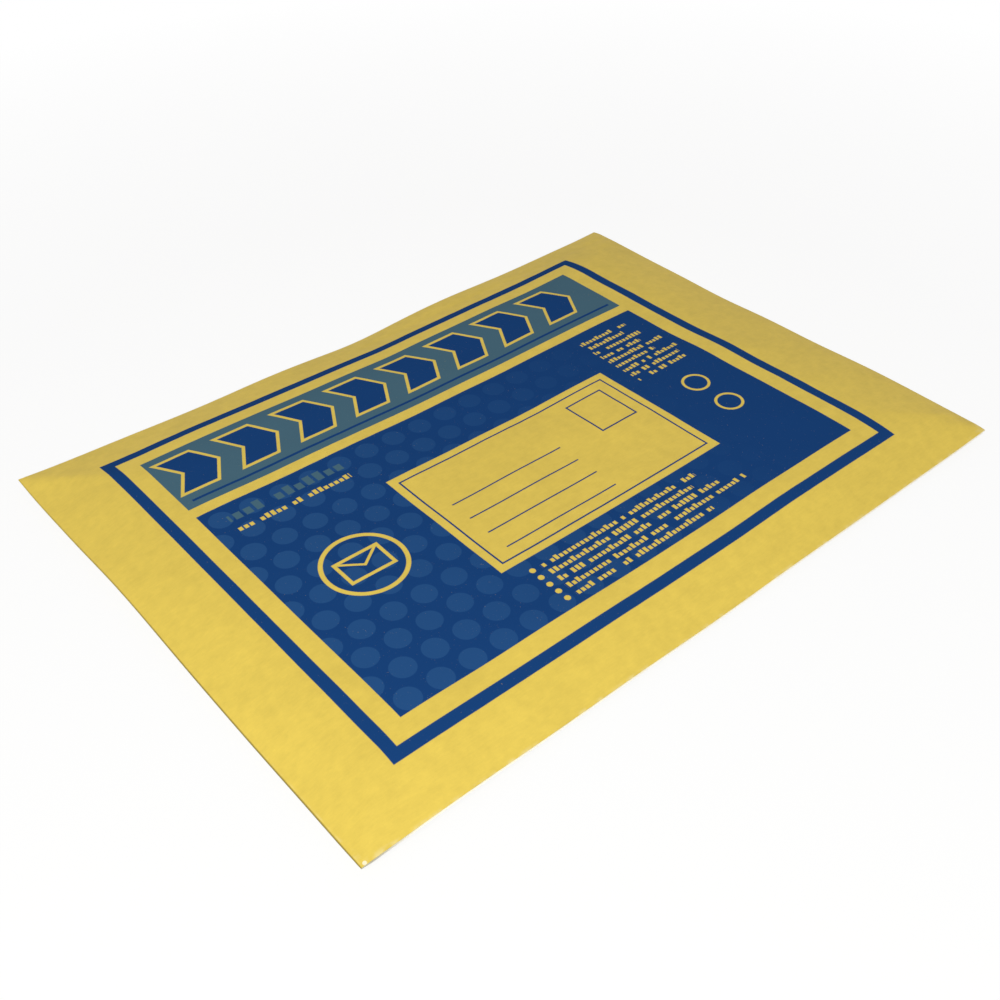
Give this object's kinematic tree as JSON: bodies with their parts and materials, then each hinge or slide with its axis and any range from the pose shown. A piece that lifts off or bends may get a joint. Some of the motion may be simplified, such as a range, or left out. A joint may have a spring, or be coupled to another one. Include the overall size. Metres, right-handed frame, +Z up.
{
  "type": "padded envelope",
  "caption": "Flat padded mailing bag of yellow paper lined with bubble film, printed with a blue rule and fields on its front, its flap folded under and stuck down",
  "frame": {"origin": "centre of the bag's box in X and Y, on the surface it rests on", "axes": "+X along the bag from the flap's fold to the bottom fold, +Y across it to its far side, +Z up out of the printed front"},
  "size_m": [0.285, 0.211, 0.0112],
  "materials": {
    "printed_paper": "smooth, low sheen"
  },
  "bodies": {
    "root": {"padded_envelope": "printed_paper"}
  },
  "joints": []
}
